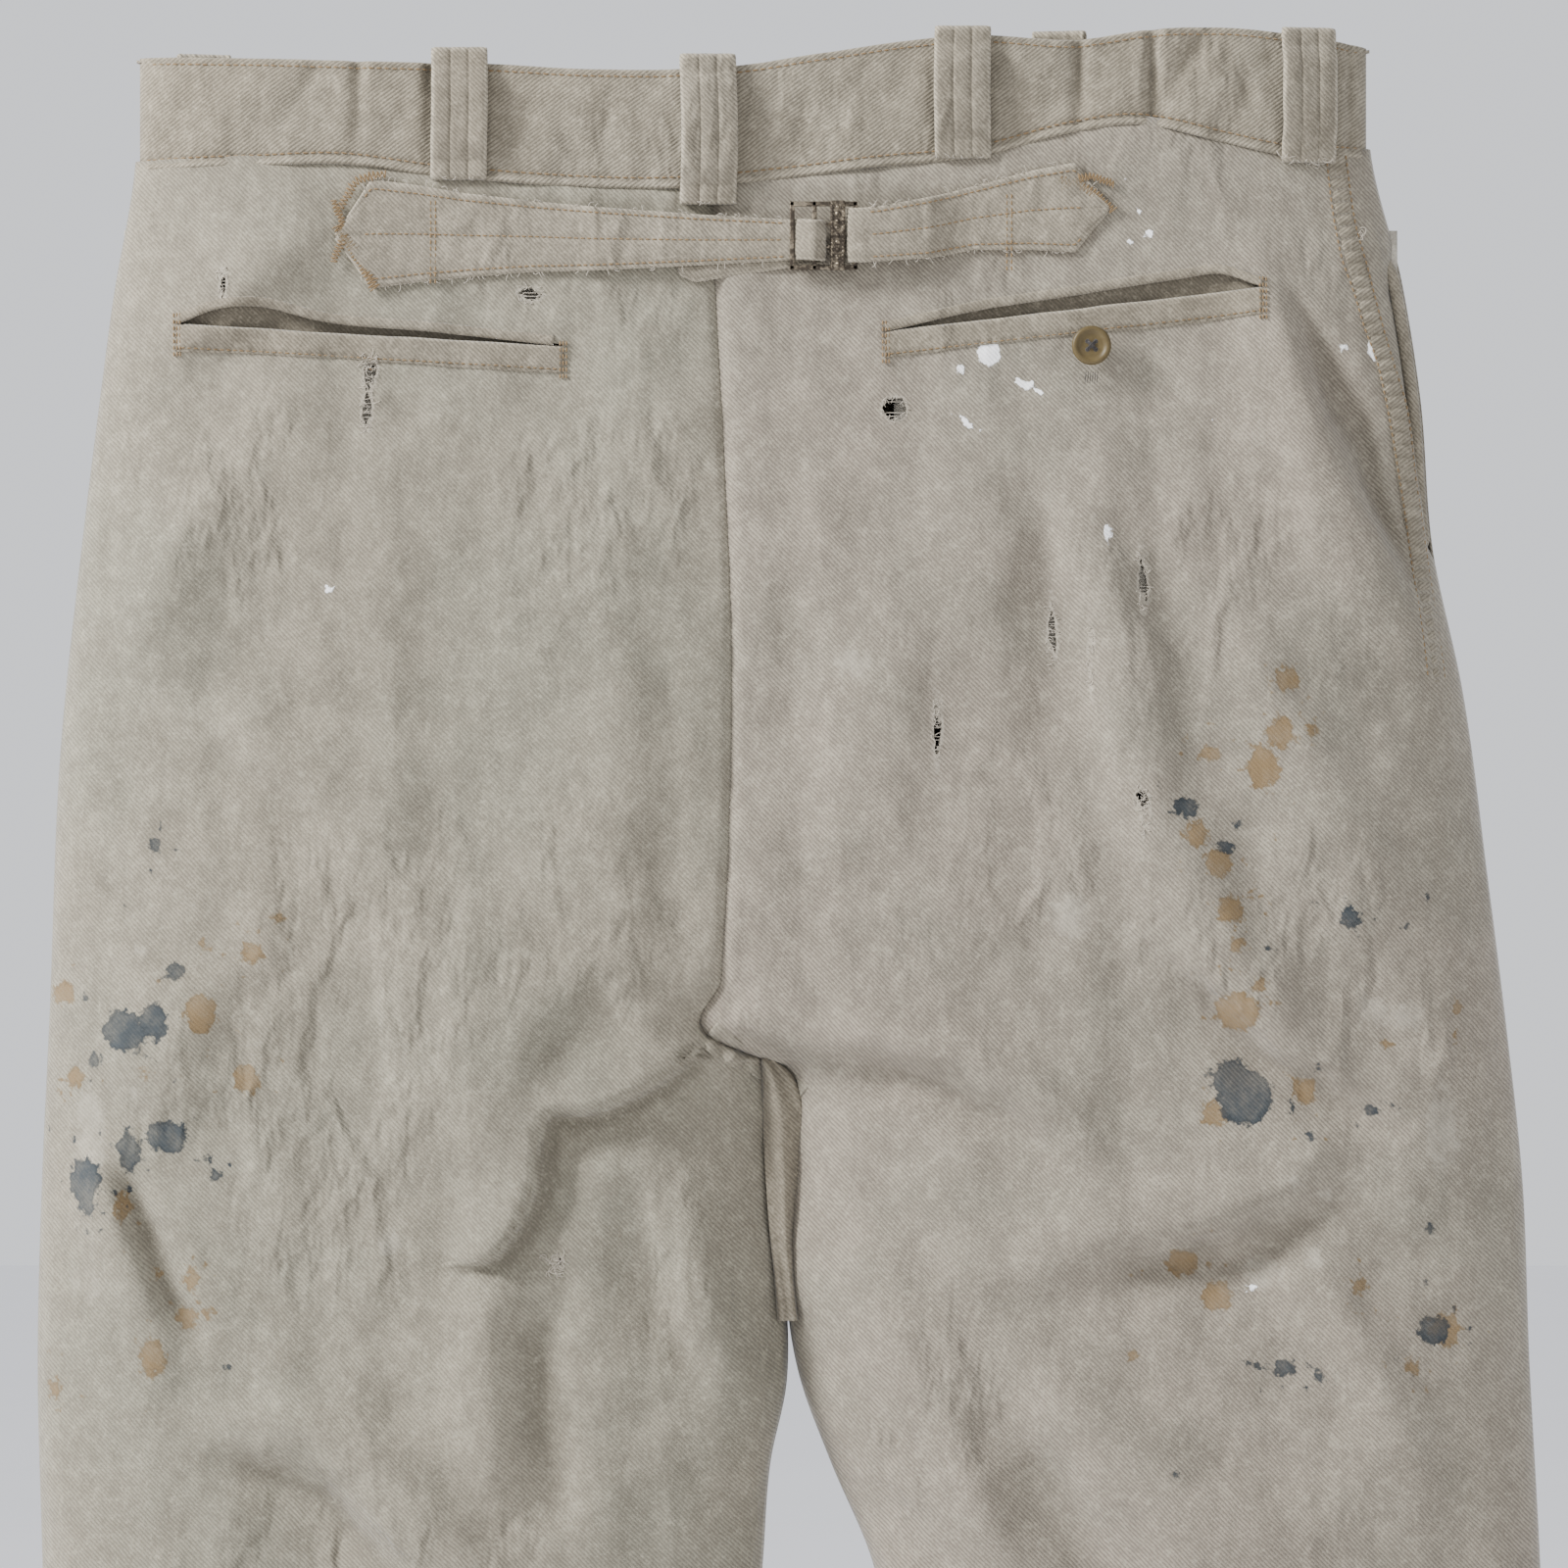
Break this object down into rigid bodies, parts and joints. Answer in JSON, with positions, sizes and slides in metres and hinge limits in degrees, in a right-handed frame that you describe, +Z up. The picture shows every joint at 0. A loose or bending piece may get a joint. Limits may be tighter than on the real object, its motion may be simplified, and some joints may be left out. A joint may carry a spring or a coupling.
{
  "type": "cinch-back work trousers",
  "caption": "Wide-leg cotton twill work trousers hung by the waistband: cinch strap and buckle, welt pockets, belt loops and a button fly.",
  "frame": {"origin": "middle of the waistband's top edge, between front and back, where a hanger holds the trousers", "axes": "+Z up along the legs towards the waist, +X towards the wearer's right, +Y out of the front; the back faces -Y"},
  "size_m": [0.5745, 0.0678, 1.1011],
  "materials": {
    "twill": "worn khaki cotton twill, matt, paint-spattered",
    "pocketing": "plain cotton pocketing, matt",
    "button": "olive-brown four-hole button, dulled",
    "thread": "dark cotton thread",
    "buckle_metal": "dark bronzed metal, worn"
  },
  "bodies": {
    "garment": {"back_panel_left": "twill", "back_panel_right": "twill", "front_panel_left": "twill", "front_panel_right": "twill", "waistband_left": "twill", "waistband_right": "twill", "belt_loop_back_left": "twill", "belt_loop_back_centre": "twill", "belt_loop_back_right": "twill", "belt_loop_side_right": "twill", "belt_loop_side_left": "twill", "belt_loop_front_left": "twill", "belt_loop_front_right": "twill", "hem_left": "twill", "hem_right": "twill", "back_pocket_welt_left": "twill", "back_pocket_welt_right": "twill", "fly_shield": "twill", "cinch_strap_left": "twill", "cinch_strap_right": "twill", "waistband_lining_left": "pocketing", "waistband_lining_right": "pocketing", "back_pocket_bag_left": "pocketing", "back_pocket_bag_right": "pocketing", "side_pocket_bag_left": "pocketing", "side_pocket_bag_right": "pocketing"},
    "fly": {"fly_flap": "twill", "waistband_tab": "twill", "fly_buttonhole_strip": "pocketing"},
    "buckle": {"cinch_buckle": "buckle_metal"},
    "pocket_button": {"back_pocket_button": "button", "back_pocket_button_thread": "thread"},
    "waist_button": {"waist_button": "button"},
    "fly_button_1": {"fly_button_1": "button"},
    "fly_button_2": {"fly_button_2": "button"},
    "fly_button_3": {"fly_button_3": "button"},
    "fly_button_4": {"fly_button_4": "button"}
  },
  "joints": [
    {"name": "fly_open", "type": "hinge", "parent": "garment", "child": "fly", "pos_m": [-0.0245, 0.0176, -0.002], "axis": [0, -0.0495, 0.9988], "range_deg": [0, 100]},
    {"name": "buckle_rock", "type": "hinge", "parent": "garment", "child": "buckle", "pos_m": [0.039, -0.02397, -0.07], "axis": [0, 0, 1], "range_deg": [0, 5]},
    {"name": "pocket_button_tilt", "type": "hinge", "parent": "garment", "child": "pocket_button", "pos_m": [0.129, -0.0227, -0.112], "axis": [1, 0, 0], "range_deg": [-12, 12]},
    {"name": "waist_button_turn", "type": "hinge", "parent": "garment", "child": "waist_button", "pos_m": [-0.0045, 0.0093, -0.02], "axis": [0, 1, 0], "range_deg": [-30, 30]},
    {"name": "fly_button_1_turn", "type": "hinge", "parent": "garment", "child": "fly_button_1", "pos_m": [-0.0045, 0.01, -0.072], "axis": [0, 1, 0], "range_deg": [-30, 30]},
    {"name": "fly_button_2_turn", "type": "hinge", "parent": "garment", "child": "fly_button_2", "pos_m": [-0.0045, 0.0127, -0.11], "axis": [0, 1, 0], "range_deg": [-30, 30]},
    {"name": "fly_button_3_turn", "type": "hinge", "parent": "garment", "child": "fly_button_3", "pos_m": [-0.0045, 0.0154, -0.148], "axis": [0, 1, 0], "range_deg": [-30, 30]},
    {"name": "fly_button_4_turn", "type": "hinge", "parent": "garment", "child": "fly_button_4", "pos_m": [-0.0045, 0.0182, -0.186], "axis": [0, 1, 0], "range_deg": [-30, 30]}
  ]
}
